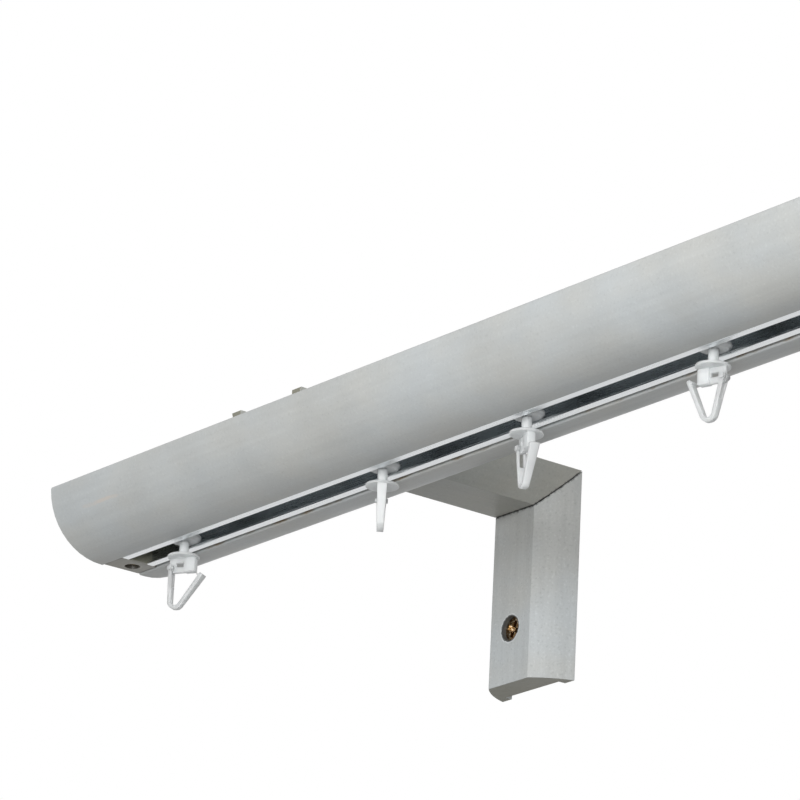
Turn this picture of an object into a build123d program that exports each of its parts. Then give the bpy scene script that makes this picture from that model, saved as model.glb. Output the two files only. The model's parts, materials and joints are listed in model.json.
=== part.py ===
import os

from build123d import *

# Inner-run curtain track, in millimetres. X runs along the track, the room is at -Y and +Z is up.
# The origin is on the wall, midway between the brackets, level with their wall screws.

# Rail moulding: a bar with a flat top and a quarter round along each long side
rail_length = 600.0
rail_width = 59.0
rail_height = 21.0
rail_arris = 0.9
groove_reach = 102.0
groove_shift = 1.0
groove_width = 14.2
groove_ease = 0.7

# C-track in the groove
track_width = 12.6
track_height = 9.6
track_wall = 1.0
lip_thickness = 0.9
slot_width = 7.0
track_recess = 0.25
track_seam = 0.35
track_corner = 0.6

# End plugs that close the groove
plug_length = 10.0
plug_play = 0.15
plug_ease = 0.3
plug_screw_aside = 1.0
plug_screw_sink = 1.2

# Bracket moulding, with its narrow flat nose to the rail and its hollow back to the wall
bracket_inset = 87.0
moulding_depth = 12.4
nose_width = 19.2
back_width = 35.6
flank_bulge_width = 30.4
flank_bulge_depth = 6.7
recess_width = 26.2
recess_depth = 2.5
arm_length = 111.3
leg_height = 69.0
mitre_joint = 0.2
wall_screw_rise = 18.0
wall_screw_sink = 1.5

# Screws: head radius, shank radius and length under the head's face. The wall screw has a thinner
# neck inside the leg, and its full shank starts just short of the wall.
wall_screw_head = 3.9
wall_screw_shank = 2.0
wall_screw_length = 22.0
wall_screw_neck = 1.6
wall_screw_neck_length = 9.4
rail_screw_head = 3.4
rail_screw_shank = 1.75
rail_screw_length = 18.0
rail_screw_margin = 9.0
small_screw_head = 2.3
small_screw_shank = 1.2
plug_screw_length = 14.0
track_screw_length = 8.0
track_screw_spacing = 200.0
screw_rim = 0.4
screw_point = 2.6
screw_tip = 0.3
screw_play = 0.1
cross_reach = 0.62
cross_width = 0.24
cross_depth = 0.42
cross_taper = 12.0

# Gliders: the head runs in the track, and the stem with its collar and eyelet turns in the head
head_radius = 5.2
head_thickness = 1.9
head_seat_radius = 4.2
head_rim_rise = 0.9
glide_gap = 0.15
disc_ease = 0.3
stem_radius = 1.5
stem_play = 0.05
stem_cap_radius = 2.5
stem_cap_thickness = 0.8
collar_radius = 5.05
collar_thickness = 0.8
collar_drop = 5.4
eyelet_width = 8.8
eyelet_height = 4.7
eyelet_thickness = 2.4
web_thickness = 1.1
web_side = 3.6
window_width = 2.6
window_height = 1.4
window_drop = 1.5
window_side = 4.0
eyelet_ease = 0.3

# V hook on the eyelet's pivot pin: a flat strip that leans from the pivot to the bend and opens up to
# the tip. Its upper end is a fork round the eyelet, and the strip narrows towards the bend.
pivot_side = 3.8
pivot_drop = 3.1
pivot_pin_radius = 0.7
pivot_pin_length = 3.9
pivot_play = 0.05
hook_eye_radius = 1.1
hook_strip = 1.2
hook_top_width = 3.0
hook_bend_width = 2.0
hook_fork_slot = 1.4
hook_fork_depth = 6.2
hook_reach = 16.8
hook_lean = 14.0
hook_opening = 37.3
hook_bend_radius = 2.0
hook_tip_rise = 17.8
hook_barb = 0.9
hook_end_ease = 0.45

# Where each glider stands along the track from its left or right end, from left to right, how far
# its eyelet is turned and how far its hook has swung
left_stations = [35.2, 136.4, 204.3, 286.0]
right_stations = [231.0, 148.0, 64.0]
glider_turns = [210.0, 143.0, 162.0, 17.0, 40.0, 205.0, -60.0]
hook_swings = [-13.5, 11.0, -6.0, 0.5, -12.0, -4.0, 5.0]

# Places that follow from the sizes above
arm_top = leg_height - wall_screw_rise
rail_top = arm_top - moulding_depth
rail_base = rail_top - rail_height
rail_y = -groove_reach + groove_shift
groove_y = -groove_reach
groove_depth = track_recess + track_height
track_base = rail_base + track_recess
track_y = groove_y - groove_width / 2 + track_seam + track_width / 2
run_z = track_base + lip_thickness
recess_floor = arm_top - recess_depth
rail_screw_back = rail_y + rail_width / 2 - rail_screw_margin
rail_screw_front = rail_screw_margin - arm_length
bracket_x = rail_length / 2 - bracket_inset
plug_x = rail_length / 2 - plug_length / 2
plug_screw_y = groove_y + plug_screw_aside
head_base = glide_gap
collar_base = head_base - collar_drop
collar_top = collar_base + collar_thickness
cap_base = head_base + head_thickness + glide_gap
eyelet_base = collar_base - eyelet_height
pivot_z = collar_base - pivot_drop

sides = {"left": -1, "right": 1}


def screw_form(head, shank, length, play=0.0, mouth=0.0):
    """A countersunk screw along -Z with its face at z = 0, or with play and a mouth, its hole."""
    with BuildPart() as form:
        with BuildSketch(Plane.XZ):
            with BuildLine():
                Polyline(
                    (0, mouth),
                    (head + play, mouth),
                    (head + play, -screw_rim),
                    (shank + play, -screw_rim - (head - shank)),
                    (shank + play, screw_point - length),
                    (screw_tip + play, -length - play),
                    (0, -length - play),
                    close=True,
                )
            make_face()
        revolve(axis=Axis.Z)
    return form.part


def screw(head, shank, length, neck=0.0, neck_length=0.0):
    """A countersunk screw with its cross recess, and with a thinner neck if one is given."""
    with BuildPart() as fastener:
        add(screw_form(head, shank, length))
        if neck:
            neck_top = -screw_rim - (head - neck)
            with BuildSketch(Plane.XZ):
                with BuildLine():
                    Polyline(
                        (neck, neck_top),
                        (head, neck_top),
                        (head, -neck_length),
                        (neck, -neck_length),
                        close=True,
                    )
                make_face()
            revolve(axis=Axis.Z, mode=Mode.SUBTRACT)
        with BuildSketch(Plane.XY):
            Rectangle(2 * head * cross_reach, 2 * head * cross_width)
            Rectangle(2 * head * cross_width, 2 * head * cross_reach)
        extrude(amount=-head * cross_depth, taper=cross_taper, mode=Mode.SUBTRACT)
    return fastener.part


def keep(shape, name):
    """Labels a finished piece and writes its STEP file."""
    shape.label = name
    export_step(shape, f"parts/{name}.step")


def bracket_profile():
    """The bracket moulding's section: nose at y = 0, hollow back at y = moulding_depth."""
    half_nose = nose_width / 2
    half_back = back_width / 2
    half_recess = recess_width / 2
    recess_y = moulding_depth - recess_depth
    with BuildSketch() as profile:
        with BuildLine():
            Line((-half_nose, 0), (half_nose, 0))
            ThreePointArc(
                (half_nose, 0),
                (flank_bulge_width / 2, flank_bulge_depth),
                (half_back, moulding_depth),
            )
            Polyline(
                (half_back, moulding_depth),
                (half_recess, moulding_depth),
                (half_recess, recess_y),
                (-half_recess, recess_y),
                (-half_recess, moulding_depth),
                (-half_back, moulding_depth),
            )
            ThreePointArc(
                (-half_back, moulding_depth),
                (-flank_bulge_width / 2, flank_bulge_depth),
                (-half_nose, 0),
            )
        make_face()
    return profile.sketch


def wall_screw_place(x):
    return Plane(origin=(x, wall_screw_sink - moulding_depth, 0), z_dir=(0, -1, 0)).location


def rail_screw_places(x):
    """The two screws that pull the rail up against an arm: one in from the rail's back edge and
    one in from the arm's end."""
    return [
        Plane(origin=(x, y, recess_floor)).location for y in (rail_screw_back, rail_screw_front)
    ]


def plug_screw_place(side):
    z = track_base + plug_screw_sink
    return Plane(origin=(side * plug_x, plug_screw_y, z), z_dir=(0, 0, -1)).location


def track_screw_places():
    """Small screws from inside the track up into the rail."""
    z = track_base + track_height - track_wall - screw_rim
    return [
        Plane(origin=(x, track_y, z), z_dir=(0, 0, -1)).location
        for x in (-track_screw_spacing, 0, track_screw_spacing)
    ]


os.makedirs("parts", exist_ok=True)
wall_screw = screw(
    wall_screw_head,
    wall_screw_shank,
    wall_screw_length,
    wall_screw_neck,
    wall_screw_neck_length,
)
rail_screw = screw(rail_screw_head, rail_screw_shank, rail_screw_length)
plug_screw = screw(small_screw_head, small_screw_shank, plug_screw_length)
track_screw = screw(small_screw_head, small_screw_shank, track_screw_length)
rail_screw_hole = screw_form(
    rail_screw_head, rail_screw_shank, rail_screw_length, screw_play, recess_depth
)
plug_screw_hole = screw_form(
    small_screw_head, small_screw_shank, plug_screw_length, screw_play, plug_screw_sink
)
track_screw_hole = screw_form(
    small_screw_head, small_screw_shank, track_screw_length, screw_play, screw_rim
)
wall_screw_hole = screw_form(
    wall_screw_head, wall_screw_shank, wall_screw_length, screw_play, wall_screw_sink
)

# Rail moulding: half-stadium bar with the groove nearer its room side
with BuildPart() as rail_moulding:
    with BuildSketch(Plane.YZ):
        with BuildLine():
            front = rail_y - rail_width / 2
            back = rail_y + rail_width / 2
            Line((front, rail_top), (back, rail_top))
            CenterArc((back - rail_height, rail_top), rail_height, 0, -90)
            Line((back - rail_height, rail_base), (front + rail_height, rail_base))
            CenterArc((front + rail_height, rail_top), rail_height, -90, -90)
        make_face()
        fillet(vertices().group_by(Axis.Y)[-1], radius=rail_arris)
        with Locations((groove_y, rail_base + groove_depth / 2)):
            Rectangle(groove_width, groove_depth, mode=Mode.SUBTRACT)
        fillet(vertices().group_by(Axis.Y)[0].sort_by(Axis.X)[-2], radius=groove_ease)
    extrude(amount=rail_length / 2, both=True)
    for side in sides.values():
        for place in rail_screw_places(side * bracket_x):
            add(rail_screw_hole.moved(place), mode=Mode.SUBTRACT)
        add(plug_screw_hole.moved(plug_screw_place(side)), mode=Mode.SUBTRACT)
    for place in track_screw_places():
        add(track_screw_hole.moved(place), mode=Mode.SUBTRACT)
keep(rail_moulding.part, "rail_moulding")

# C-track: it stands against the groove's room side, which leaves a gap along its other side
with BuildPart() as track_channel:
    with BuildSketch(Plane.YZ):
        with Locations((track_y, track_base + track_height / 2)):
            RectangleRounded(track_width, track_height, track_corner)
        with Locations((track_y, run_z + (track_height - track_wall - lip_thickness) / 2)):
            Rectangle(
                track_width - 2 * track_wall,
                track_height - track_wall - lip_thickness,
                mode=Mode.SUBTRACT,
            )
        with Locations((track_y, track_base + lip_thickness / 2)):
            Rectangle(slot_width, lip_thickness, mode=Mode.SUBTRACT)
    extrude(amount=rail_length / 2 - plug_length - plug_play, both=True)
    for place in track_screw_places():
        add(track_screw_hole.moved(place), mode=Mode.SUBTRACT)
keep(track_channel.part, "track_channel")

track_screws = Compound(children=[track_screw.moved(place) for place in track_screw_places()])
keep(track_screws, "track_screws")

# End plugs, each with its small screw
for side_name, side in sides.items():
    with BuildPart() as end_plug:
        with Locations((side * plug_x, groove_y, track_base + track_height / 2)):
            Box(plug_length, groove_width - 2 * plug_play, track_height)
        chamfer(end_plug.faces().sort_by(Axis.Z)[0].edges(), length=plug_ease)
        add(plug_screw_hole.moved(plug_screw_place(side)), mode=Mode.SUBTRACT)
    keep(end_plug.part, f"end_plug_{side_name}")
    keep(plug_screw.moved(plug_screw_place(side)), f"plug_screw_{side_name}")

# Brackets: arm over the rail and leg down the wall, mitred at 45 degrees
profile = bracket_profile()
for side_name, side in sides.items():
    x = side * bracket_x
    corner = Plane(origin=(x, 0, arm_top), z_dir=(0, 1, -1))
    with BuildPart() as bracket_arm:
        with BuildSketch(Plane(origin=(x, 0, rail_top), x_dir=(-1, 0, 0), z_dir=(0, 1, 0))):
            add(profile)
        extrude(amount=-arm_length)
        split(bisect_by=corner.offset(-mitre_joint / 2), keep=Keep.BOTTOM)
        for place in rail_screw_places(x):
            add(rail_screw_hole.moved(place), mode=Mode.SUBTRACT)
    keep(bracket_arm.part, f"bracket_arm_{side_name}")

    leg_place = Plane(origin=(x, -moulding_depth, -wall_screw_rise), x_dir=(1, 0, 0))
    with BuildPart() as bracket_leg:
        with BuildSketch(leg_place):
            add(profile)
        extrude(amount=leg_height)
        split(bisect_by=corner.offset(mitre_joint / 2), keep=Keep.TOP)
        add(wall_screw_hole.moved(wall_screw_place(x)), mode=Mode.SUBTRACT)
    keep(bracket_leg.part, f"bracket_leg_{side_name}")
    keep(wall_screw.moved(wall_screw_place(x)), f"wall_screw_{side_name}")

    rail_screws = Compound(children=[rail_screw.moved(place) for place in rail_screw_places(x)])
    keep(rail_screws, f"rail_screws_{side_name}")

# One glider about its own axis, with z = 0 on the track's running faces
head_top = head_base + head_thickness
with BuildPart() as glider_head:
    with BuildSketch(Plane.XZ):
        with BuildLine():
            Polyline(
                (stem_radius + stem_play, head_base),
                (head_seat_radius, head_base),
                (head_radius, head_base + head_rim_rise),
                (head_radius, head_top),
                (stem_radius + stem_play, head_top),
                close=True,
            )
        make_face()
    revolve(axis=Axis.Z)
    rims = glider_head.edges().filter_by(GeomType.CIRCLE).group_by(SortBy.RADIUS)[-1]
    fillet(rims, radius=disc_ease)

with BuildPart() as glider_eyelet:
    with BuildSketch(Plane.XY.offset(collar_base)):
        Circle(collar_radius)
    extrude(amount=collar_thickness)
    fillet(glider_eyelet.edges().filter_by(GeomType.CIRCLE), radius=disc_ease)
    with BuildSketch(Plane.XY.offset(collar_top)):
        Circle(stem_radius)
    extrude(amount=cap_base - collar_top)
    with BuildSketch(Plane.XY.offset(cap_base)):
        Circle(stem_cap_radius)
    extrude(amount=stem_cap_thickness)
    with BuildSketch(Plane.XZ.offset(-web_thickness / 2)):
        with Locations((0, eyelet_base + eyelet_height / 2)):
            Rectangle(eyelet_width, eyelet_height)
        with Locations((pivot_side, pivot_z)):
            Circle(hook_eye_radius)
        fillet(vertices().group_by(Axis.Y)[0], radius=eyelet_ease)
    extrude(amount=web_thickness)
    with BuildSketch(Plane.XZ.offset(-eyelet_thickness / 2)):
        with Locations((web_side / 2 - eyelet_width / 2, eyelet_base + eyelet_height / 2)):
            RectangleRounded(web_side, eyelet_height, eyelet_ease)
    extrude(amount=eyelet_thickness)
    window_x = window_side - eyelet_width / 2 + window_width / 2
    window_z = collar_base - window_drop - window_height / 2
    with BuildSketch(Plane.XZ.offset(-eyelet_thickness / 2)):
        with Locations((window_x, window_z)):
            Rectangle(window_width, window_height)
    extrude(amount=eyelet_thickness, mode=Mode.SUBTRACT)
    with BuildSketch(Plane.XZ.offset(-pivot_pin_length / 2)):
        with Locations((pivot_side, pivot_z)):
            Circle(pivot_pin_radius)
    extrude(amount=pivot_pin_length)

# The hook's centre line: from the pivot down to the bend and up to the tip
down = Vector(0, -1).rotate(Axis.Z, -hook_lean)
up = Vector(0, 1).rotate(Axis.Z, hook_opening - hook_lean)
inward = up.rotate(Axis.Z, -90)
pivot = Vector(pivot_side, pivot_z)
bend = pivot + down * hook_reach
tip = bend + up * hook_tip_rise
barb_root = tip - up * hook_strip
barb = barb_root + inward * (hook_strip / 2 + hook_barb)

with BuildPart() as glider_hook:
    with BuildSketch(Plane.XZ.offset(-hook_top_width / 2)):
        with BuildLine():
            FilletPolyline(
                (pivot.X, pivot.Y), (bend.X, bend.Y), (tip.X, tip.Y), radius=hook_bend_radius
            )
        trace(line_width=hook_strip)
        with Locations((pivot_side, pivot_z)):
            Circle(hook_eye_radius)
        with BuildLine():
            Polyline((tip.X, tip.Y), (barb.X, barb.Y), (barb_root.X, barb_root.Y), close=True)
        make_face()
    extrude(amount=hook_top_width)
    hook_top = pivot_z + hook_eye_radius
    hook_bottom = glider_hook.part.bounding_box().min.Z
    with BuildSketch(Plane.YZ):
        with BuildLine():
            Polyline(
                (-hook_top_width / 2, hook_top),
                (hook_top_width / 2, hook_top),
                (hook_bend_width / 2, hook_bottom),
                (-hook_bend_width / 2, hook_bottom),
                close=True,
            )
        make_face()
        fillet(vertices().group_by(Axis.Y)[0], radius=hook_end_ease)
    extrude(amount=hook_reach, both=True, mode=Mode.INTERSECT)
    with BuildSketch(Plane.XZ.offset(-hook_top_width / 2)):
        with Locations((pivot_side, pivot_z)):
            Circle(pivot_pin_radius + pivot_play)
    extrude(amount=hook_top_width, mode=Mode.SUBTRACT)
    with BuildSketch(Plane.XZ.offset(-hook_fork_slot / 2)):
        with Locations((pivot_side, pivot_z)):
            Circle(hook_fork_depth)
    extrude(amount=hook_fork_slot, mode=Mode.SUBTRACT)

pivot_axis = Axis((pivot_side, 0, pivot_z), (0, 1, 0))
glider_stations = left_stations + [rail_length - reach for reach in right_stations]
stations = zip(glider_stations, glider_turns, hook_swings)
for number, (station, turn, swing) in enumerate(stations, start=1):
    place = Location((station - rail_length / 2, track_y, run_z), (0, 0, turn))
    swung_hook = glider_hook.part.rotate(pivot_axis, swing)
    keep(glider_head.part.moved(place), f"glider_head_{number}")
    keep(glider_eyelet.part.moved(place), f"glider_eyelet_{number}")
    keep(swung_hook.moved(place), f"glider_hook_{number}")
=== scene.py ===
import json
import math

import bpy
import bmesh
from mathutils import Matrix, Vector

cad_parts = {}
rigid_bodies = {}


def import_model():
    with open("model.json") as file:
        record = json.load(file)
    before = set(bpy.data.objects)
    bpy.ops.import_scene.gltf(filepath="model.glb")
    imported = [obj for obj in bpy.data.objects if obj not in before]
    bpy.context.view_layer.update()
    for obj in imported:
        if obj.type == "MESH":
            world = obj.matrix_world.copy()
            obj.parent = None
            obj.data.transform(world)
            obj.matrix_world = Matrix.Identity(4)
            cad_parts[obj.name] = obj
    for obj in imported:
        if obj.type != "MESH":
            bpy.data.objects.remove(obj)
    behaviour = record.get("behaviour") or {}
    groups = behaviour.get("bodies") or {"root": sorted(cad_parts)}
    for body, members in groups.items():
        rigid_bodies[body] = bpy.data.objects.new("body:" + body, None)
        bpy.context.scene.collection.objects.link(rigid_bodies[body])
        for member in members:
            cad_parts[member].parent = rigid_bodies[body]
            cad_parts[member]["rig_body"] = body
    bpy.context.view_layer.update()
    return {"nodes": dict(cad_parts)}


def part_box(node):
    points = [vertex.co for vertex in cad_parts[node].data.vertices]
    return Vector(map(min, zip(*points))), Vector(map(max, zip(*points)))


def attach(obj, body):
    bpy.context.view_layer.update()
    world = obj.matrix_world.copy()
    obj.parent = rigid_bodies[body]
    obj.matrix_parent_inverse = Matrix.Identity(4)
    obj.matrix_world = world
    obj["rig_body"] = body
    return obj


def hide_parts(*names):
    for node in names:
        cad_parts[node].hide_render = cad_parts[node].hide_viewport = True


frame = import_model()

scene = bpy.context.scene
nodes = frame["nodes"]


# Rail moulding: a half-round bar with a flat top, planed from solid wood and sprayed with a
# silver-grey satin lacquer. A groove is routed along its underside for the track. Its arrises are
# rubbed down by hand, and its sawn ends are sealed with a thinner, duller coat.
rail_arris_ease = 0.00035
rail_grain_run = (0.035, 1.0, 1.0)
even_run = (1.0, 1.0, 1.0)
cool_tint = (0.985, 1.0, 1.015)
warm_tint = (1.02, 1.0, 0.97)
noise_low = 0.3
noise_high = 0.7
merge_distance = 0.000002
flat_angle = math.radians(0.4)
arris_angle = math.radians(28)
end_squareness = 0.98
end_slack = 0.0002
groove_line_aside = 0.0004
groove_line_reach = 0.0009
scuff_place = (-0.274, -0.128, 0.0288)
scuff_reach = (0.01, 0.02, 0.0006)


def paint(r, g, b):
    """A colour written as it shows on screen, 0 to 255, as the shader wants it."""
    channels = []
    for value in (r, g, b):
        share = value / 255
        channels.append(share / 12.92 if share <= 0.04045 else ((share + 0.055) / 1.055) ** 2.4)
    return (*channels, 1.0)


def group_with(name, inputs, outputs):
    """An empty node group with named sockets, and its input and output nodes."""
    group = bpy.data.node_groups.new(name, "ShaderNodeTree")
    for label, kind, default in inputs:
        socket = group.interface.new_socket(label, in_out="INPUT", socket_type=kind)
        socket.default_value = default
    for label, kind in outputs:
        group.interface.new_socket(label, in_out="OUTPUT", socket_type=kind)
    return group, group.nodes.new("NodeGroupInput"), group.nodes.new("NodeGroupOutput")


def object_place(group):
    """The object's own coordinates, in metres."""
    return group.nodes.new("ShaderNodeTexCoord").outputs["Object"]


def axes_of(group, place):
    """The X, Y and Z of a vector."""
    split = group.nodes.new("ShaderNodeSeparateXYZ")
    group.links.new(place, split.inputs[0])
    return split.outputs


def stretched_noise(group, place, scale, stretch, detail=4.0, roughness=0.55):
    """Noise on object coordinates, drawn out by a factor for each axis."""
    mapping = group.nodes.new("ShaderNodeMapping")
    if isinstance(stretch, tuple):
        mapping.inputs["Scale"].default_value = stretch
    else:
        group.links.new(stretch, mapping.inputs["Scale"])
    noise = group.nodes.new("ShaderNodeTexNoise")
    noise.inputs["Scale"].default_value = scale
    noise.inputs["Detail"].default_value = detail
    noise.inputs["Roughness"].default_value = roughness
    group.links.new(place, mapping.inputs["Vector"])
    group.links.new(mapping.outputs["Vector"], noise.inputs["Vector"])
    return noise.outputs["Fac"]


def ranged(group, value, low, high, to_low, to_high):
    """A value carried from one range to another, held at its ends."""
    node = group.nodes.new("ShaderNodeMapRange")
    node.inputs["From Min"].default_value = low
    node.inputs["From Max"].default_value = high
    node.inputs["To Min"].default_value = to_low
    node.inputs["To Max"].default_value = to_high
    group.links.new(value, node.inputs["Value"])
    return node.outputs["Result"]


def swung(group, noise, to_low, to_high):
    """Noise carried from the levels that nearly all of it lies between to another range."""
    return ranged(group, noise, noise_low, noise_high, to_low, to_high)


def worked(group, operation, *values):
    """Values put together by one sum; a plain number is set on its socket."""
    node = group.nodes.new("ShaderNodeMath")
    node.operation = operation
    for socket, value in zip(node.inputs, values):
        if isinstance(value, (int, float)):
            socket.default_value = value
        else:
            group.links.new(value, socket)
    return node.outputs[0]


def scaled_colour(group, colour, level):
    """A colour made lighter or darker by a value."""
    node = group.nodes.new("ShaderNodeVectorMath")
    node.operation = "SCALE"
    group.links.new(colour, node.inputs[0])
    group.links.new(level, node.inputs["Scale"])
    return node.outputs[0]


def tinted(group, colour, value, cool, warm):
    """A colour drawn towards one tint or another by a value from 0 to 1."""
    tint = group.nodes.new("ShaderNodeVectorMath")
    tint.operation = "MULTIPLY_ADD"
    tint.inputs[1].default_value = [high - low for low, high in zip(cool, warm)]
    tint.inputs[2].default_value = cool
    group.links.new(value, tint.inputs[0])
    node = group.nodes.new("ShaderNodeVectorMath")
    node.operation = "MULTIPLY"
    group.links.new(colour, node.inputs[0])
    group.links.new(tint.outputs[0], node.inputs[1])
    return node.outputs[0]


def make_lacquer_group():
    """Sprayed lacquer over wood: clouds, grain under the coat, spray specks, pits and peel."""
    group, start, end = group_with(
        "sprayed_lacquer",
        [
            ("Colour", "NodeSocketColor", (0.5, 0.5, 0.5, 1)),
            ("Grain Run", "NodeSocketVector", (1, 1, 1)),
            ("Clouds", "NodeSocketFloat", 0.05),
            ("Grain", "NodeSocketFloat", 0.05),
            ("Specks", "NodeSocketFloat", 0.05),
        ],
        [
            ("Colour", "NodeSocketColor"),
            ("Roughness", "NodeSocketFloat"),
            ("Height", "NodeSocketFloat"),
        ],
    )
    place = object_place(group)
    run = start.outputs["Grain Run"]
    clouds = stretched_noise(group, place, 34.0, even_run, 3.0)
    grain = stretched_noise(group, place, 520.0, run, 5.0, 0.62)
    grit = stretched_noise(group, place, 1300.0, even_run, 2.0, 0.5)
    peel = stretched_noise(group, place, 620.0, even_run, 2.0, 0.5)
    shade = worked(group, "MULTIPLY", swung(group, clouds, -1, 1), start.outputs["Clouds"])
    streak = worked(group, "MULTIPLY", swung(group, grain, -1, 1), start.outputs["Grain"])
    specks = start.outputs["Specks"]
    speck = worked(group, "MULTIPLY", ranged(group, grit, 0.58, 0.74, 0, 1), specks)
    pit = worked(group, "MULTIPLY", ranged(group, grit, 0.27, 0.41, -1, 0), specks)
    level = worked(group, "ADD", shade, 1.0)
    for part in (streak, speck, pit):
        level = worked(group, "ADD", level, part)
    tone = stretched_noise(group, place, 46.0, (0.6, 1.0, 1.0), 3.0)
    tone = ranged(group, tone, 0.35, 0.65, 0, 1)
    colour = tinted(group, start.outputs["Colour"], tone, cool_tint, warm_tint)
    group.links.new(scaled_colour(group, colour, level), end.inputs["Colour"])
    group.links.new(swung(group, clouds, 0.36, 0.47), end.inputs["Roughness"])
    rise = worked(group, "ADD", worked(group, "MULTIPLY", grit, 0.35), peel)
    rise = worked(group, "ADD", rise, worked(group, "MULTIPLY", grain, 0.7))
    group.links.new(rise, end.inputs["Height"])
    return group


lacquer_group = make_lacquer_group()


def new_finish(name):
    """A named material, its tree and its shader."""
    material = bpy.data.materials.new(name)
    material.use_nodes = True
    return material, material.node_tree, material.node_tree.nodes["Principled BSDF"]


def group_node(tree, group, values):
    """A node group placed in a material with its own values."""
    node = tree.nodes.new("ShaderNodeGroup")
    node.node_tree = group
    for label, value in values.items():
        node.inputs[label].default_value = value
    return node


def skinned(name, group, values):
    """A named material whose colour and roughness come from a node group."""
    material, tree, shader = new_finish(name)
    skin = group_node(tree, group, values)
    tree.links.new(skin.outputs["Colour"], shader.inputs["Base Color"])
    tree.links.new(skin.outputs["Roughness"], shader.inputs["Roughness"])
    return material, tree, shader, skin


def vector_worked(group, operation, first, second, output="Vector"):
    """Two vectors put together by one sum; a plain vector is set on its socket."""
    node = group.nodes.new("ShaderNodeVectorMath")
    node.operation = operation
    for socket, value in zip(node.inputs, (first, second)):
        if isinstance(value, tuple):
            socket.default_value = value
        else:
            group.links.new(value, socket)
    return node.outputs[output]


def blended(group, colour, other, share):
    """A colour drawn towards another by a share from 0 to 1."""
    change = vector_worked(group, "SUBTRACT", other, colour)
    return vector_worked(group, "ADD", colour, scaled_colour(group, change, share))


def make_line_group():
    """A broken line along X, where a coat ends at an edge or painted shade darkens a seam."""
    group, start, end = group_with(
        "edge_line",
        [
            ("Colour", "NodeSocketColor", (0.5, 0.5, 0.5, 1)),
            ("Line", "NodeSocketColor", (0.2, 0.2, 0.2, 1)),
            ("Middle", "NodeSocketFloat", 0.0),
            ("Half", "NodeSocketFloat", 0.0),
            ("Reach", "NodeSocketFloat", 0.0005),
            ("Under", "NodeSocketFloat", 1.0),
        ],
        [("Colour", "NodeSocketColor")],
    )
    place = object_place(group)
    axes = axes_of(group, place)
    away = worked(group, "SUBTRACT", axes["Y"], start.outputs["Middle"])
    away = worked(group, "ABSOLUTE", away, 0.0)
    away = worked(group, "SUBTRACT", away, start.outputs["Half"])
    away = worked(group, "DIVIDE", worked(group, "ABSOLUTE", away, 0.0), start.outputs["Reach"])
    broken = stretched_noise(group, place, 420.0, (0.3, 1.0, 1.0), 4.0, 0.6)
    away = worked(group, "ADD", away, swung(group, broken, -0.35, 0.35))
    share = ranged(group, away, 0.55, 1.0, 1.0, 0.0)
    under = worked(group, "LESS_THAN", axes["Z"], start.outputs["Under"])
    share = worked(group, "MULTIPLY", share, under)
    colour = blended(group, start.outputs["Colour"], start.outputs["Line"], share)
    group.links.new(colour, end.inputs["Colour"])
    return group


def make_scuff_group():
    """A faint spot of a given place and size, worn through the coat, that shows the undercoat."""
    group, start, end = group_with(
        "rubbed_spot",
        [
            ("Colour", "NodeSocketColor", (0.5, 0.5, 0.5, 1)),
            ("Undercoat", "NodeSocketColor", (0.5, 0.5, 0.5, 1)),
            ("Centre", "NodeSocketVector", (0, 0, 0)),
            ("Reach", "NodeSocketVector", (1, 1, 1)),
        ],
        [("Colour", "NodeSocketColor")],
    )
    place = object_place(group)
    away = vector_worked(group, "SUBTRACT", place, start.outputs["Centre"])
    away = vector_worked(group, "DIVIDE", away, start.outputs["Reach"])
    away = vector_worked(group, "LENGTH", away, (0.0, 0.0, 0.0), "Value")
    broken = stretched_noise(group, place, 900.0, (0.3, 1.0, 1.0), 4.0, 0.6)
    away = worked(group, "ADD", away, swung(group, broken, -0.5, 0.5))
    share = ranged(group, away, 0.3, 1.1, 0.7, 0.0)
    colour = blended(group, start.outputs["Colour"], start.outputs["Undercoat"], share)
    group.links.new(colour, end.inputs["Colour"])
    return group


line_group = make_line_group()
scuff_group = make_scuff_group()


def overlaid(material, overlay, values):
    """Lays a colour group over the finish that a material already has."""
    tree = material.node_tree
    shader = tree.nodes["Principled BSDF"]
    layer = group_node(tree, overlay, values)
    tree.links.new(shader.inputs["Base Color"].links[0].from_socket, layer.inputs["Colour"])
    tree.links.new(layer.outputs["Colour"], shader.inputs["Base Color"])


def raised(tree, shader, height, strength, distance):
    """Lets a height stand out of a surface."""
    bump = tree.nodes.new("ShaderNodeBump")
    bump.inputs["Strength"].default_value = strength
    bump.inputs["Distance"].default_value = distance
    tree.links.new(height, bump.inputs["Height"])
    tree.links.new(bump.outputs["Normal"], shader.inputs["Normal"])


def lacquer(name, colour, run, clouds, grain, specks, relief=0.0001):
    """A lacquered wood finish whose grain runs the way the piece was planed."""
    material, tree, shader, skin = skinned(name, lacquer_group, {
        "Colour": colour, "Grain Run": run, "Clouds": clouds, "Grain": grain, "Specks": specks,
    })
    raised(tree, shader, skin.outputs["Height"], 0.35, relief)
    shader.inputs["Specular IOR Level"].default_value = 0.4
    return material


def in_scene(name, data):
    """An object of given data, put into the scene."""
    thing = bpy.data.objects.new(name, data)
    scene.collection.objects.link(thing)
    return thing


def settled(piece):
    """Turns a piece's modifiers into plain mesh."""
    graph = bpy.context.evaluated_depsgraph_get()
    mesh = bpy.data.meshes.new_from_object(piece.evaluated_get(graph), depsgraph=graph)
    piece.modifiers.clear()
    piece.data = mesh
    mesh.name = piece.name
    return piece


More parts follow.
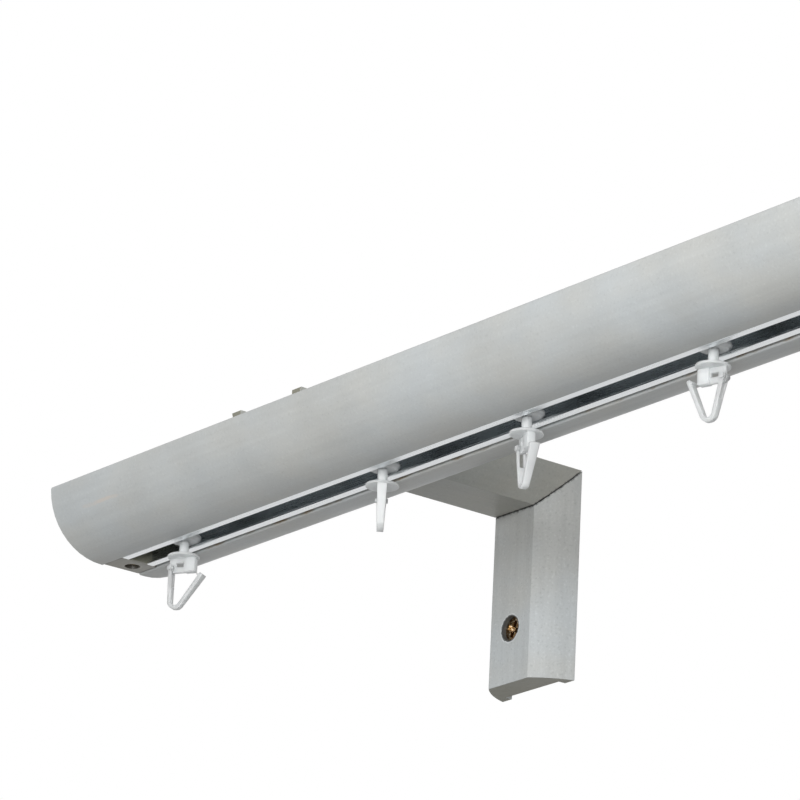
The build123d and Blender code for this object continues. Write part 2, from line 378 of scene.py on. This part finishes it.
def eased(name, node, width, segments=2):
    """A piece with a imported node's shape, its flat faces whole and its hard edges rounded."""
    shape = bmesh.new()
    shape.from_mesh(nodes[node].data)
    bmesh.ops.remove_doubles(shape, verts=shape.verts, dist=merge_distance)
    bmesh.ops.dissolve_limit(shape, angle_limit=flat_angle, verts=shape.verts, edges=shape.edges)
    for face in shape.faces:
        face.smooth = True
        face.material_index = 0
    mesh = bpy.data.meshes.new(name)
    shape.to_mesh(mesh)
    shape.free()
    for layer in ("custom_normal", "sharp_edge", "sharp_face"):
        if layer in mesh.attributes:
            mesh.attributes.remove(mesh.attributes[layer])
    piece = in_scene(name, mesh)
    bevel = piece.modifiers.new("ease", "BEVEL")
    bevel.width = width
    bevel.segments = segments
    bevel.limit_method = "ANGLE"
    bevel.angle_limit = arris_angle
    bevel.use_clamp_overlap = True
    piece.modifiers.new("even_shading", "WEIGHTED_NORMAL")
    return settled(piece)


def stands_for(piece, slot, *replaced):
    """Puts a piece on the body of the nodes that it stands for."""
    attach(piece, nodes[replaced[0]]["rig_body"])
    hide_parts(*replaced)


def wear(piece, material, end_material=None, end_axis=None, end_at=()):
    """Gives a piece its finish, and another to the flat sawn ends that lie at given places."""
    piece.data.materials.clear()
    piece.data.materials.append(material)
    if end_material:
        piece.data.materials.append(end_material)
    for face in piece.data.polygons:
        face.material_index = 0
        if end_material and abs(face.normal[end_axis]) > end_squareness:
            if any(abs(face.center[end_axis] - place) < end_slack for place in end_at):
                face.material_index = 1


rail_lacquer = lacquer("rail_lacquer", paint(183, 186, 186), rail_grain_run, 0.06, 0.035, 0.08)
sawn_end = lacquer("sawn_end", paint(128, 127, 114), even_run, 0.07, 0.08, 0.10, 0.00015)
groove_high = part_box("track_channel")[1]
overlaid(rail_lacquer, line_group, {
    "Line": paint(124, 98, 62), "Middle": groove_high.y + groove_line_aside,
    "Reach": groove_line_reach, "Under": groove_high.z,
})
overlaid(rail_lacquer, scuff_group, {
    "Undercoat": paint(198, 189, 180), "Centre": scuff_place, "Reach": scuff_reach,
})
rail = eased("rail", "rail_moulding", rail_arris_ease)
rail_low, rail_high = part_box("rail_moulding")
wear(rail, rail_lacquer, sawn_end, 0, (rail_low.x, rail_high.x))
stands_for(rail, "rail_lacquer", "rail_moulding")


# Track channel: a C-section drawn from bright mill-finish aluminium and screwed up into the groove.
# Its lips are rolled smooth where the gliders run, and two fine ribs stiffen its roof. The die
# leaves hair-thin lines along its whole length.
track_wall = 0.001
lip_thickness = 0.0009
slot_half = 0.0035
outer_corner = 0.0006
lip_roll = 0.0003
rib_aside = 0.0034
rib_width = 0.0005
rib_height = 0.00035
section_crease = math.radians(35)
inside_slack = 0.0001
track_low, track_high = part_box("track_channel")
track_middle = (track_low.y + track_high.y) / 2


def rounded_outline(corners, steps=5):
    """Points along an outline in Y and Z whose corners are rounded, each by its own radius."""
    points = []
    for index, (y, z, radius) in enumerate(corners):
        here = Vector((y, z))
        before = Vector(corners[index - 1][:2])
        after = Vector(corners[(index + 1) % len(corners)][:2])
        if not radius:
            points.append(here)
            continue
        start = here + (before - here).normalized() * radius
        end = here + (after - here).normalized() * radius
        for step in range(steps + 1):
            share = step / steps
            points.append(
                start * (1 - share) ** 2 + here * 2 * share * (1 - share) + end * share ** 2
            )
    return points


def drawn_section(name, outline, start_x, end_x):
    """A closed bar of one section, from one end to the other along X."""
    shape = bmesh.new()
    rings = []
    for x in (start_x, end_x):
        rings.append([shape.verts.new((x, point.x, point.y)) for point in outline])
    near, far = rings
    count = len(outline)
    for index in range(count):
        following = (index + 1) % count
        shape.faces.new((near[index], near[following], far[following], far[index]))
    shape.faces.new(near)
    shape.faces.new(far)
    bmesh.ops.recalc_face_normals(shape, faces=shape.faces)
    bmesh.ops.triangulate(shape, faces=[face for face in shape.faces if len(face.verts) > 4])
    mesh = bpy.data.meshes.new(name)
    shape.to_mesh(mesh)
    shape.free()
    mesh.shade_smooth()
    mesh.set_sharp_from_angle(angle=section_crease)
    piece = in_scene(name, mesh)
    return piece


def make_drawn_group():
    """Drawn metal: die lines along X and faint handling marks."""
    group, start, end = group_with(
        "drawn_metal",
        [("Colour", "NodeSocketColor", (0.8, 0.8, 0.8, 1)), ("Lines", "NodeSocketFloat", 0.05)],
        [
            ("Colour", "NodeSocketColor"),
            ("Roughness", "NodeSocketFloat"),
            ("Height", "NodeSocketFloat"),
        ],
    )
    place = object_place(group)
    lines = stretched_noise(group, place, 3800.0, (0.004, 1.0, 1.0), 3.0, 0.6)
    marks = stretched_noise(group, place, 90.0, (0.6, 1.0, 1.0), 4.0, 0.6)
    drawn = worked(group, "MULTIPLY", swung(group, lines, -1, 1), start.outputs["Lines"])
    level = worked(group, "ADD", drawn, swung(group, marks, 0.97, 1.02))
    group.links.new(scaled_colour(group, start.outputs["Colour"], level), end.inputs["Colour"])
    rough = worked(group, "ADD", swung(group, lines, 0.0, 0.1), 0.2)
    rough = worked(group, "ADD", rough, ranged(group, marks, 0.4, 0.7, 0.0, 0.08))
    group.links.new(rough, end.inputs["Roughness"])
    group.links.new(lines, end.inputs["Height"])
    return group


drawn_group = make_drawn_group()


def drawn_finish(name, colour, lines):
    """Drawn aluminium, as bright or dark as its colour."""
    values = {"Colour": colour, "Lines": lines}
    material, tree, shader, skin = skinned(name, drawn_group, values)
    raised(tree, shader, skin.outputs["Height"], 0.2, 0.00002)
    shader.inputs["Metallic"].default_value = 1.0
    return material


aluminium = drawn_finish("track_aluminium", paint(232, 235, 237), 0.03)
# The channel's inside takes a darker copy of the aluminium: painted shade inside the channel.
shaded_inside_aluminium = drawn_finish("track_inside", paint(192, 197, 200), 0.06)

roof = track_high.z - track_wall
lip_top = track_low.z + lip_thickness
inner_front = track_low.y + track_wall
inner_back = track_high.y - track_wall
track_corners = [
    (track_middle - slot_half, track_low.z, lip_roll),
    (track_low.y, track_low.z, outer_corner),
    (track_low.y, track_high.z, outer_corner),
    (track_high.y, track_high.z, outer_corner),
    (track_high.y, track_low.z, outer_corner),
    (track_middle + slot_half, track_low.z, lip_roll),
    (track_middle + slot_half, lip_top, lip_roll),
    (inner_back, lip_top, 0),
    (inner_back, roof, 0),
]
for side in (1, -1):
    rib = track_middle + side * rib_aside
    track_corners += [
        (rib + rib_width / 2, roof, 0),
        (rib + rib_width / 2, roof - rib_height, 0),
        (rib - rib_width / 2, roof - rib_height, 0),
        (rib - rib_width / 2, roof, 0),
    ]
track_corners += [
    (inner_front, roof, 0),
    (inner_front, lip_top, 0),
    (track_middle - slot_half, lip_top, lip_roll),
]
track = drawn_section("track", rounded_outline(track_corners), track_low.x, track_high.x)
wear(track, aluminium)
# Faces inside the channel, between the lips and the roof, take the darker copy as painted shade.
track.data.materials.append(shaded_inside_aluminium)
for face in track.data.polygons:
    across = abs(face.center.y - track_middle) < inner_back - track_middle + inside_slack
    between = lip_top + inside_slack < face.center.z < roof + inside_slack
    if across and between and abs(face.normal.x) < 0.5:
        face.material_index = 1
stands_for(track, "track_metal", "track_channel")


# End plugs: small blocks of the same wood that close the groove at each end of the track. They are
# sprayed with the rail's coat, which lies thinner and rougher on them, and each has one screw.
plug_ease = 0.0004
plug_grain_run = (0.1, 1.0, 1.0)
plug_relief = 0.00015
plug_seam_shade_reach = 0.0008
plug_lacquer = lacquer(
    "plug_lacquer", paint(148, 147, 140), plug_grain_run, 0.07, 0.06, 0.09, plug_relief
)
plug_low, plug_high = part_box("end_plug_left")
# The plug's long edges get a near-black line: painted shade in the seam between plug and groove.
overlaid(plug_lacquer, line_group, {
    "Line": paint(44, 42, 38), "Middle": (plug_low.y + plug_high.y) / 2,
    "Half": (plug_high.y - plug_low.y) / 2, "Reach": plug_seam_shade_reach,
})
for side in ("left", "right"):
    node = f"end_plug_{side}"
    low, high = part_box(node)
    plug = eased(f"plug_{side}", node, plug_ease)
    wear(plug, plug_lacquer, sawn_end, 0, (low.x, high.x))
    stands_for(plug, "plug_lacquer", node)


# Brackets: an arm over the rail and a leg down the wall, two lengths of one hollow-backed moulding,
# mitred, glued and sprayed together. Grain runs along each length, dirt and broken lacquer mark the
# glued joint, and the sawn ends show a thin olive-grey coat.
bracket_ease = 0.0003
arm_grain_run = (1.0, 0.12, 1.0)
leg_grain_run = (1.0, 1.0, 0.07)
joint_reach = 0.00045
joint_fade = 1.6
dirt_and_shade_level = 0.14
chip_shade = 1.35
hole_radius = 0.0041
hole_unevenness = 0.0002
hole_shade_reach = 0.0004
hole_chip_reach = 0.0008


def make_joint_group():
    """Dirt along a mitre that runs at 45 degrees through Y = 0 at a given height."""
    group, start, end = group_with(
        "joint_dirt",
        [
            ("Colour", "NodeSocketColor", (0.5, 0.5, 0.5, 1)),
            ("Top", "NodeSocketFloat", 0.05),
        ],
        [("Colour", "NodeSocketColor")],
    )
    place = object_place(group)
    axes = axes_of(group, place)
    away = worked(group, "SUBTRACT", axes["Y"], axes["Z"])
    away = worked(group, "ABSOLUTE", worked(group, "ADD", away, start.outputs["Top"]), 0.0)
    broken = stretched_noise(group, place, 700.0, even_run, 4.0, 0.65)
    away = worked(group, "ADD", away, swung(group, broken, -joint_reach, joint_reach))
    kept = ranged(group, away, 0.0, joint_reach * joint_fade, dirt_and_shade_level, 1.0)
    group.links.new(scaled_colour(group, start.outputs["Colour"], kept), end.inputs["Colour"])
    return group


def make_hole_group():
    """Lacquer broken pale round a straight hole on each side of the middle, with painted shade on
    the hole's wall and rim.
    """
    group, start, end = group_with(
        "hole_edge",
        [
            ("Colour", "NodeSocketColor", (0.5, 0.5, 0.5, 1)),
            ("Centre", "NodeSocketVector", (0, 0, 0)),
            ("Across", "NodeSocketVector", (1, 0, 1)),
            ("Radius", "NodeSocketFloat", 0.004),
        ],
        [("Colour", "NodeSocketColor")],
    )
    place = object_place(group)
    axes = axes_of(group, place)
    folded = group.nodes.new("ShaderNodeCombineXYZ")
    group.links.new(worked(group, "ABSOLUTE", axes["X"], 0.0), folded.inputs["X"])
    group.links.new(axes["Y"], folded.inputs["Y"])
    group.links.new(axes["Z"], folded.inputs["Z"])
    away = vector_worked(group, "SUBTRACT", folded.outputs[0], start.outputs["Centre"])
    away = vector_worked(group, "MULTIPLY", away, start.outputs["Across"])
    away = vector_worked(group, "LENGTH", away, (0.0, 0.0, 0.0), "Value")
    away = worked(group, "SUBTRACT", away, start.outputs["Radius"])
    broken = stretched_noise(group, place, 1100.0, even_run, 3.0, 0.6)
    broken = swung(group, broken, -hole_unevenness, hole_unevenness)
    away = worked(group, "ADD", away, broken)
    chipped = ranged(group, away, hole_shade_reach, hole_chip_reach, chip_shade, 1.0)
    # Painted shade: the hole's wall and its rim are darkened, as shade falls into the hole.
    hole_shade = ranged(group, away, hole_shade_reach / 2, hole_shade_reach, dirt_and_shade_level, 1.0)
    kept = worked(group, "MULTIPLY", chipped, hole_shade)
    group.links.new(scaled_colour(group, start.outputs["Colour"], kept), end.inputs["Colour"])
    return group


joint_group = make_joint_group()
hole_group = make_hole_group()


def bracket_finish(name, colour, run, grain, specks):
    """Bracket lacquer with dirt along its glue joint, and painted shade in the wall screw's hole.
    """
    material = lacquer(name, colour, run, 0.05, grain, specks)
    overlaid(material, joint_group, {"Top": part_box("bracket_arm_left")[1].z})
    # Painted shade in the wall screw's hole, with pale chips round it.
    low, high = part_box("wall_screw_right")
    overlaid(material, hole_group, {"Centre": (low + high) / 2, "Radius": hole_radius})
    return material


# The arm has the leg's coat but is painted darker, as painted shade under the rail.
arm_lacquer_shaded = bracket_finish("arm_lacquer_shaded", paint(170, 171, 166), arm_grain_run, 0.04, 0.12)
leg_lacquer = bracket_finish("leg_lacquer", paint(180, 183, 183), leg_grain_run, 0.05, 0.15)
# Painted shade on the wall and rim of the plug screw's hole, with pale chips round it.
low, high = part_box("plug_screw_right")
overlaid(plug_lacquer, hole_group, {
    "Centre": (low + high) / 2, "Across": (1.0, 1.0, 0.0), "Radius": (high.x - low.x) / 2,
})
for side in ("left", "right"):
    arm_node = f"bracket_arm_{side}"
    arm = eased(f"arm_{side}", arm_node, bracket_ease)
    wear(arm, arm_lacquer_shaded, sawn_end, 1, (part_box(arm_node)[0].y,))
    stands_for(arm, "bracket_lacquer", arm_node)
    leg_node = f"bracket_leg_{side}"
    leg = eased(f"leg_{side}", leg_node, bracket_ease)
    wear(leg, leg_lacquer, sawn_end, 2, (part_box(leg_node)[0].z,))
    stands_for(leg, "bracket_lacquer", leg_node)


# Screws: countersunk cross-head wood screws, cold-headed and thread-rolled. Brass ones go through
# each leg into the wall, pull the arms and the rail together and hold the plugs; zinc-plated ones
# hold the track. All carry painted shade, darker in the recess and between the threads, and
# painted glints on the head. The recess is measured in shares of the head's radius.
screw_sides = 28
screw_rings = 110
screw_point = 0.0026
rim = 0.0004
core_share = 0.74
tip_share = 0.12
thread_sharpness = 4.0
recess_width = 0.44
recess_length = 1.6
recess_depth = 0.9
recess_draft = 0.8
recess_middle = 0.9
soft_angle = math.radians(40)
millimetres_down = -1000.0
turn_seed = 7
screw_tree = bpy.data.node_groups.new("cross_head_screw", "GeometryNodeTree")
screw_tree.is_modifier = True
screw_tree.interface.new_socket("Places", in_out="INPUT", socket_type="NodeSocketGeometry")
for label in ("Head", "Shank", "Neck", "Neck Length", "Length", "Point", "Pitch"):
    screw_tree.interface.new_socket(label, in_out="INPUT", socket_type="NodeSocketFloat")
screw_tree.interface.new_socket("Finish", in_out="INPUT", socket_type="NodeSocketMaterial")
screw_tree.interface.new_socket("Screws", in_out="OUTPUT", socket_type="NodeSocketGeometry")
asked = screw_tree.nodes.new("NodeGroupInput")
made = screw_tree.nodes.new("NodeGroupOutput")


def screw_sum(operation, *values):
    """One sum in the screw's tree."""
    return worked(screw_tree, operation, *values)


def placed(geometry, x, y, z):
    """Moves every point of a geometry to a worked-out place."""
    joined = screw_tree.nodes.new("ShaderNodeCombineXYZ")
    for socket, value in zip(joined.inputs, (x, y, z)):
        screw_tree.links.new(value, socket)
    node = screw_tree.nodes.new("GeometryNodeSetPosition")
    screw_tree.links.new(geometry, node.inputs["Geometry"])
    screw_tree.links.new(joined.outputs[0], node.inputs["Position"])
    return node.outputs["Geometry"]


def own_place():
    """The X, Y and Z of each point."""
    position = screw_tree.nodes.new("GeometryNodeInputPosition")
    return axes_of(screw_tree, position.outputs[0])


blank = screw_tree.nodes.new("GeometryNodeMeshCylinder")
blank.fill_type = "NGON"
blank.inputs["Vertices"].default_value = screw_sides
blank.inputs["Side Segments"].default_value = screw_rings
blank.inputs["Radius"].default_value = 1.0
screw_tree.links.new(asked.outputs["Length"], blank.inputs["Depth"])
x, y, z = own_place()
depth = screw_sum("SUBTRACT", screw_sum("MULTIPLY", asked.outputs["Length"], 0.5), z)
cone = screw_sum("SUBTRACT", screw_sum("ADD", asked.outputs["Head"], rim), depth)
cone = screw_sum("MINIMUM", cone, asked.outputs["Head"])
left_over = screw_sum("SUBTRACT", asked.outputs["Length"], depth)
taper = screw_sum("MINIMUM", screw_sum("DIVIDE", left_over, asked.outputs["Point"]), 1.0)
taper = screw_sum("MAXIMUM", taper, tip_share)
wave = screw_sum("DIVIDE", screw_sum("MULTIPLY", depth, 2 * math.pi), asked.outputs["Pitch"])
wave = screw_sum("COSINE", screw_sum("SUBTRACT", wave, screw_sum("ARCTAN2", y, x)))
crest = screw_sum("POWER", screw_sum("MULTIPLY_ADD", wave, 0.5, 0.5), thread_sharpness)
crest = screw_sum("MULTIPLY_ADD", crest, 1 - core_share, core_share)
threaded = screw_sum("MULTIPLY", screw_sum("MULTIPLY", asked.outputs["Shank"], taper), crest)
on_neck = screw_sum("LESS_THAN", depth, asked.outputs["Neck Length"])
off_neck = screw_sum("SUBTRACT", 1.0, on_neck)
body_radius = screw_sum(
    "ADD",
    screw_sum("MULTIPLY", on_neck, asked.outputs["Neck"]),
    screw_sum("MULTIPLY", off_neck, threaded),
)
radius = screw_sum("MAXIMUM", cone, body_radius)
turned = placed(
    blank.outputs["Mesh"],
    screw_sum("MULTIPLY", x, radius),
    screw_sum("MULTIPLY", y, radius),
    screw_sum("MULTIPLY", depth, -1.0),
)

punches = []
for long_axis in (0, 1):
    punch = screw_tree.nodes.new("GeometryNodeMeshCube")
    size = [recess_width, recess_width, 1.0]
    size[long_axis] = recess_length
    punch.inputs["Size"].default_value = size
    px, py, pz = own_place()
    draft = screw_sum("MULTIPLY_ADD", pz, recess_draft, recess_middle)
    reach = screw_sum("MULTIPLY", asked.outputs["Head"], draft)
    punches.append(
        placed(
            punch.outputs["Mesh"],
            screw_sum("MULTIPLY", px, reach),
            screw_sum("MULTIPLY", py, reach),
            screw_sum("MULTIPLY", screw_sum("MULTIPLY", pz, asked.outputs["Head"]), recess_depth),
        )
    )
recess = screw_tree.nodes.new("GeometryNodeMeshBoolean")
recess.operation = "DIFFERENCE"
screw_tree.links.new(turned, recess.inputs["Mesh 1"])
for punch in punches:
    screw_tree.links.new(punch, recess.inputs["Mesh 2"])

angle = screw_tree.nodes.new("GeometryNodeInputMeshEdgeAngle")
gentle = screw_sum("LESS_THAN", angle.outputs["Unsigned Angle"], soft_angle)
smooth = screw_tree.nodes.new("GeometryNodeSetShadeSmooth")
smooth.domain = "EDGE"
screw_tree.links.new(recess.outputs["Mesh"], smooth.inputs["Geometry"])
screw_tree.links.new(gentle, smooth.inputs["Shade Smooth"])

below = screw_tree.nodes.new("GeometryNodeStoreNamedAttribute")
below.data_type = "FLOAT"
below.domain = "POINT"
below.inputs["Name"].default_value = "below_face"
screw_tree.links.new(smooth.outputs["Geometry"], below.inputs["Geometry"])
screw_tree.links.new(
    screw_sum("MULTIPLY", own_place()[2], millimetres_down), below.inputs["Value"]
)

facing = screw_tree.nodes.new("GeometryNodeInputNamedAttribute")
facing.data_type = "FLOAT_VECTOR"
facing.inputs["Name"].default_value = "facing"
align = screw_tree.nodes.new("FunctionNodeAlignRotationToVector")
align.axis = "Z"
screw_tree.links.new(facing.outputs["Attribute"], align.inputs["Vector"])
driven = screw_tree.nodes.new("FunctionNodeRandomValue")
driven.data_type = "FLOAT"
driven.inputs["Max"].default_value = math.pi / 2
driven.inputs["Seed"].default_value = turn_seed
turn = screw_tree.nodes.new("ShaderNodeCombineXYZ")
screw_tree.links.new(driven.outputs["Value"], turn.inputs["Z"])
spun = screw_tree.nodes.new("FunctionNodeRotateRotation")
spun.rotation_space = "LOCAL"
as_rotation = screw_tree.nodes.new("FunctionNodeEulerToRotation")
screw_tree.links.new(turn.outputs[0], as_rotation.inputs[0])
screw_tree.links.new(align.outputs["Rotation"], spun.inputs["Rotation"])
screw_tree.links.new(as_rotation.outputs[0], spun.inputs["Rotate By"])
spread = screw_tree.nodes.new("GeometryNodeInstanceOnPoints")
screw_tree.links.new(asked.outputs["Places"], spread.inputs["Points"])
screw_tree.links.new(below.outputs["Geometry"], spread.inputs["Instance"])
screw_tree.links.new(spun.outputs["Rotation"], spread.inputs["Rotation"])
realized = screw_tree.nodes.new("GeometryNodeRealizeInstances")
screw_tree.links.new(spread.outputs["Instances"], realized.inputs["Geometry"])
coated = screw_tree.nodes.new("GeometryNodeSetMaterial")
screw_tree.links.new(realized.outputs["Geometry"], coated.inputs["Geometry"])
screw_tree.links.new(asked.outputs["Finish"], coated.inputs["Material"])
screw_tree.links.new(coated.outputs["Geometry"], made.inputs["Screws"])


def make_plating_group():
    """Screw plating: cloudy tarnish, painted shade below the head's face and painted glints on it.
    """
    group, start, end = group_with(
        "brass_plating",
        [("Colour", "NodeSocketColor", (0.5, 0.4, 0.2, 1)), ("Below", "NodeSocketFloat", 0.0)],
        [("Colour", "NodeSocketColor"), ("Roughness", "NodeSocketFloat")],
    )
    place = object_place(group)
    tarnish = stretched_noise(group, place, 1500.0, even_run, 4.0, 0.6)
    # Painted shade: the colour darkens the deeper a point lies below the head's face, in the recess
    # and between the threads.
    kept = ranged(group, start.outputs["Below"], 0.1, 1.4, 1.0, 0.3)
    level = worked(group, "MULTIPLY", kept, ranged(group, tarnish, 0.38, 0.6, 0.3, 1.3))
    # Painted glints: pale gold spots where the tarnish noise is high, on and near the head's face.
    painted_glint = worked(group, "MULTIPLY", ranged(group, tarnish, 0.54, 0.62, 0.0, 0.8), kept)
    colour = scaled_colour(group, start.outputs["Colour"], level)
    colour = blended(group, colour, (0.86, 0.78, 0.62), painted_glint)
    group.links.new(colour, end.inputs["Colour"])
    group.links.new(swung(group, tarnish, 0.36, 0.14), end.inputs["Roughness"])
    return group


plating_group = make_plating_group()


def plated(name, colour):
    """Plated screw metal that knows how far each point lies below the head's face."""
    material, tree, shader, skin = skinned(name, plating_group, {"Colour": colour})
    below_face = tree.nodes.new("ShaderNodeAttribute")
    below_face.attribute_name = "below_face"
    tree.links.new(below_face.outputs["Fac"], skin.inputs["Below"])
    shader.inputs["Metallic"].default_value = 1.0
    return material


def driven_screws(name, places, sizes, material, slot, *replaced):
    """Screws of one size at their places, each given as a point and the way its head faces."""
    mesh = bpy.data.meshes.new(name)
    mesh.from_pydata([place for place, _ in places], [], [])
    faced = mesh.attributes.new("facing", "FLOAT_VECTOR", "POINT")
    for index, (_, way) in enumerate(places):
        faced.data[index].vector = way
    piece = in_scene(name, mesh)
    modifier = piece.modifiers.new("screws", "NODES")
    modifier.node_group = screw_tree
    values = {**sizes, "Finish": material}
    for item in screw_tree.interface.items_tree:
        if item.in_out == "INPUT" and item.name in values:
            modifier[item.identifier] = values[item.name]
    settled(piece)
    stands_for(piece, slot, *replaced)


brass = plated("screw_brass", paint(152, 116, 72))
# The plug screws' brass is painted lighter than the wall screws' brass: a painted highlight for
# their glint.
small_brass_lit = plated("small_screw_brass", paint(206, 160, 66))

wall_screw_sizes = {
    "Head": 0.0039, "Shank": 0.002, "Neck": 0.0016, "Neck Length": 0.0094,
    "Length": 0.022, "Point": screw_point, "Pitch": 0.0018,
}
wall_places = []
for side in ("left", "right"):
    low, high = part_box(f"wall_screw_{side}")
    middle = (low + high) / 2
    wall_places.append(((middle.x, low.y, middle.z), (0, -1, 0)))
driven_screws(
    "wall_screws", wall_places, wall_screw_sizes, brass, "brass_screw_metal",
    "wall_screw_left", "wall_screw_right",
)

rail_screw_sizes = {
    "Head": 0.0034, "Shank": 0.00175, "Neck": 0.0013, "Neck Length": 0.005,
    "Length": 0.018, "Point": screw_point, "Pitch": 0.0016,
}
rail_places = []
for side in ("left", "right"):
    low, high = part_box(f"rail_screws_{side}")
    for y in (low.y + rail_screw_sizes["Head"], high.y - rail_screw_sizes["Head"]):
        rail_places.append((((low.x + high.x) / 2, y, high.z), (0, 0, 1)))
driven_screws(
    "rail_screws", rail_places, rail_screw_sizes, brass, "brass_screw_metal",
    "rail_screws_left", "rail_screws_right",
)

zinc = plated("screw_zinc", paint(186, 188, 190))
small_head = 0.0023
plug_screw_nodes = ("plug_screw_left", "plug_screw_right")
for name, length, material, slot, boxes in (
    ("plug_screws", 0.014, small_brass_lit, "brass_screw_metal", plug_screw_nodes),
    ("track_screws_set", 0.008, zinc, "small_screw_metal", ("track_screws",)),
):
    small_places = []
    for node in boxes:
        low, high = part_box(node)
        middle = (low + high) / 2
        spots = [middle.x]
        if node == "track_screws":
            spots = [low.x + small_head, middle.x, high.x - small_head]
        for spot in spots:
            small_places.append(((spot, middle.y, low.z), (0, 0, -1)))
    sizes = {
        "Head": small_head, "Shank": 0.0012, "Neck": 0.0009, "Neck Length": 0.003,
        "Length": length, "Point": screw_point, "Pitch": 0.0011,
    }
    driven_screws(name, small_places, sizes, material, slot, *boxes)


# Gliders: each is a round head that runs in the track, a stem with its collar and eyelet that turns
# in the head, and a V hook that swings on the eyelet's pin. They are injection-moulded in a milky
# white plastic that lets some light through, so their thin edges look bright.
glider_ease = {"head": (0.0002, 2), "eyelet": (0.00025, 3), "hook": (0.0005, 4)}


def make_moulded_group():
    """Moulded plastic: faint flow marks and a dull, slightly uneven skin."""
    group, start, end = group_with(
        "moulded_plastic",
        [("Colour", "NodeSocketColor", (0.9, 0.9, 0.9, 1))],
        [
            ("Colour", "NodeSocketColor"),
            ("Roughness", "NodeSocketFloat"),
            ("Height", "NodeSocketFloat"),
        ],
    )
    place = object_place(group)
    flow = stretched_noise(group, place, 260.0, (1.0, 1.0, 0.4), 3.0)
    skin_noise = stretched_noise(group, place, 2600.0, even_run, 2.0)
    level = swung(group, flow, 0.96, 1.02)
    group.links.new(scaled_colour(group, start.outputs["Colour"], level), end.inputs["Colour"])
    group.links.new(swung(group, flow, 0.32, 0.42), end.inputs["Roughness"])
    group.links.new(skin_noise, end.inputs["Height"])
    return group


moulded_group = make_moulded_group()
milky_white = {"Colour": paint(217, 221, 222)}
plastic, tree, shader, skin = skinned("glider_plastic", moulded_group, milky_white)
raised(tree, shader, skin.outputs["Height"], 0.12, 0.00003)
shader.inputs["Subsurface Weight"].default_value = 1.0
shader.inputs["Subsurface Radius"].default_value = (1, 1, 1)
shader.inputs["Subsurface Scale"].default_value = 0.006

for number in range(1, 8):
    for part, (ease, segments) in glider_ease.items():
        node = f"glider_{part}_{number}"
        piece = eased(f"{part}_{number}", node, ease, segments)
        wear(piece, plastic)
        stands_for(piece, "glider_plastic", node)


# Studio: a plain pale floor far below the track, white all round, and one broad soft lamp from
# the room's side. The camera looks up at the track as in the photograph.
floor_drop = 6.0
floor_half = 90.0
floor_mesh = bpy.data.meshes.new("floor")
floor_mesh.from_pydata(
    [
        (-floor_half, -floor_half, -floor_drop),
        (floor_half, -floor_half, -floor_drop),
        (floor_half, floor_half, -floor_drop),
        (-floor_half, floor_half, -floor_drop),
    ],
    [],
    [(0, 1, 2, 3)],
)
floor = in_scene("floor", floor_mesh)


def seen_directly(tree):
    """1 for a camera, glossy or transmission ray and 0 for a diffuse or shadow ray."""
    path = tree.nodes.new("ShaderNodeLightPath")
    value = path.outputs["Is Camera Ray"]
    for label in ("Is Glossy Ray", "Is Transmission Ray"):
        value = worked(tree, "MAXIMUM", value, path.outputs[label])
    return value


floor_paint, tree, shader = new_finish("floor_paint")
shader.inputs["Base Color"].default_value = (0.6, 0.6, 0.59, 1)
shader.inputs["Roughness"].default_value = 0.9
shader.inputs["Emission Color"].default_value = (1, 1, 1, 1)
lit = tree.nodes.new("ShaderNodeMapRange")
lit.inputs["To Max"].default_value = 0.55
tree.links.new(seen_directly(tree), lit.inputs["Value"])
tree.links.new(lit.outputs["Result"], shader.inputs["Emission Strength"])
floor_mesh.materials.append(floor_paint)

world = bpy.data.worlds.new("studio")
scene.world = world
world.use_nodes = True
tree = world.node_tree
background = tree.nodes["Background"]
background.inputs["Color"].default_value = (1, 1, 1, 1)
level = tree.nodes.new("ShaderNodeMapRange")
level.inputs["To Min"].default_value = 0.4
level.inputs["To Max"].default_value = 1.0
tree.links.new(seen_directly(tree), level.inputs["Value"])
tree.links.new(level.outputs["Result"], background.inputs["Strength"])

lamp_data = bpy.data.lights.new("window_lamp", "AREA")
lamp_data.shape = "RECTANGLE"
lamp_data.size = 0.9
lamp_data.size_y = 0.7
lamp_data.energy = 19.0
lamp = in_scene("window_lamp", lamp_data)
lamp.location = (0.7, -1.15, -0.12)
lamp_aim = Vector((-0.05, -0.1, 0.02))
lamp.rotation_euler = (lamp_aim - lamp.location).to_track_quat("-Z", "Y").to_euler()

camera_data = bpy.data.cameras.new("camera")
camera_data.lens = 240.75
camera_data.sensor_width = 36.0
camera_data.clip_start = 0.05
camera_data.clip_end = 100.0
camera = in_scene("camera", camera_data)
camera_place = (1.0468, -1.0123, -0.4866)
right = Vector((0.6152, 0.787, 0.0465)).normalized()
roughly_up = Vector((0.2326, -0.2375, 0.9431))
back = right.cross(roughly_up).normalized()
up = back.cross(right).normalized()
camera_turn = Matrix((right, up, back)).transposed().to_4x4()
camera.matrix_world = Matrix.Translation(camera_place) @ camera_turn
scene.camera = camera
scene.view_settings.view_transform = "Standard"
